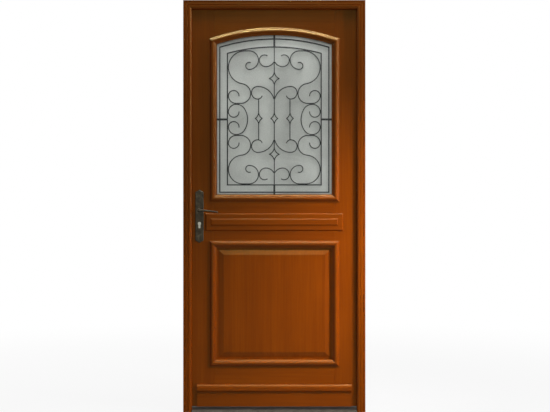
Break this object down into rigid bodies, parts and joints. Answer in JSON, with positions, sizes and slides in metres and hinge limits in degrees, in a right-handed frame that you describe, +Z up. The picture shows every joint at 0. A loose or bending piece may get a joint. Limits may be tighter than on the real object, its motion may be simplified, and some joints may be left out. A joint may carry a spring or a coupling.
{
  "type": "glazed wooden front door in its frame",
  "caption": "Panelled wooden front door in a rebated frame, with an arched obscured window behind a wrought scroll grille, a lever handle on a long plate and a hinged leaf that opens inward.",
  "frame": {"origin": "middle of the threshold's underside, at half the frame's depth", "axes": "+Z up, +X towards the hinge jamb seen from the street, +Y from the street towards the room"},
  "size_m": [0.954, 0.181, 2.16],
  "materials": {
    "varnished_wood": "satin",
    "threshold_metal": "matte",
    "seal_rubber": "matte",
    "lock_steel": "brushed",
    "obscured_glass": "frosted",
    "clear_glass": "polished",
    "spacer_metal": "satin",
    "grille_iron": "matte",
    "aged_bronze": "patinated",
    "cylinder_nickel": "satin",
    "hinge_metal": "satin"
  },
  "bodies": {
    "frame": {"lock_jamb": "varnished_wood", "hinge_jamb": "varnished_wood", "frame_head": "varnished_wood", "threshold": "threshold_metal", "rebate_seal": "seal_rubber", "strike_plate": "lock_steel", "lower_hinge_pintle": "hinge_metal", "middle_hinge_pintle": "hinge_metal", "upper_hinge_pintle": "hinge_metal"},
    "leaf": {"lock_stile": "varnished_wood", "hinge_stile": "varnished_wood", "top_rail": "varnished_wood", "lock_rail": "varnished_wood", "bottom_rail": "varnished_wood", "lower_panel": "varnished_wood", "lock_rail_tablet": "varnished_wood", "weatherboard": "varnished_wood", "outer_glazing_moulding_lock_side": "varnished_wood", "outer_glazing_moulding_hinge_side": "varnished_wood", "outer_glazing_moulding_base": "varnished_wood", "outer_glazing_moulding_head": "varnished_wood", "outer_panel_moulding_lock_side": "varnished_wood", "outer_panel_moulding_hinge_side": "varnished_wood", "outer_panel_moulding_base": "varnished_wood", "outer_panel_moulding_head": "varnished_wood", "inner_glazing_moulding_lock_side": "varnished_wood", "inner_glazing_moulding_hinge_side": "varnished_wood", "inner_glazing_moulding_base": "varnished_wood", "inner_glazing_moulding_head": "varnished_wood", "inner_panel_moulding_lock_side": "varnished_wood", "inner_panel_moulding_hinge_side": "varnished_wood", "inner_panel_moulding_base": "varnished_wood", "inner_panel_moulding_head": "varnished_wood", "lock_faceplate": "lock_steel", "outer_pane": "obscured_glass", "inner_pane": "clear_glass", "pane_spacer": "spacer_metal", "grille": "grille_iron", "outer_handle_plate": "aged_bronze", "inner_handle_plate": "aged_bronze", "lock_cylinder": "cylinder_nickel", "lower_hinge_knuckle": "hinge_metal", "middle_hinge_knuckle": "hinge_metal", "upper_hinge_knuckle": "hinge_metal"},
    "handle": {"outer_lever": "aged_bronze", "inner_lever": "aged_bronze", "handle_spindle": "lock_steel"}
  },
  "joints": [
    {"name": "leaf_swing", "type": "hinge", "parent": "frame", "child": "leaf", "pos_m": [0.446, 0.0506, 1.075], "axis": [0, 0, -1], "range_deg": [0, 110]},
    {"name": "lever_turn", "type": "hinge", "parent": "leaf", "child": "handle", "pos_m": [-0.3935, 0.014, 1.059], "axis": [0, 1, 0], "range_deg": [0, 40], "stiffness_Nm_per_rad": 2, "springref_deg": -28.65}
  ]
}
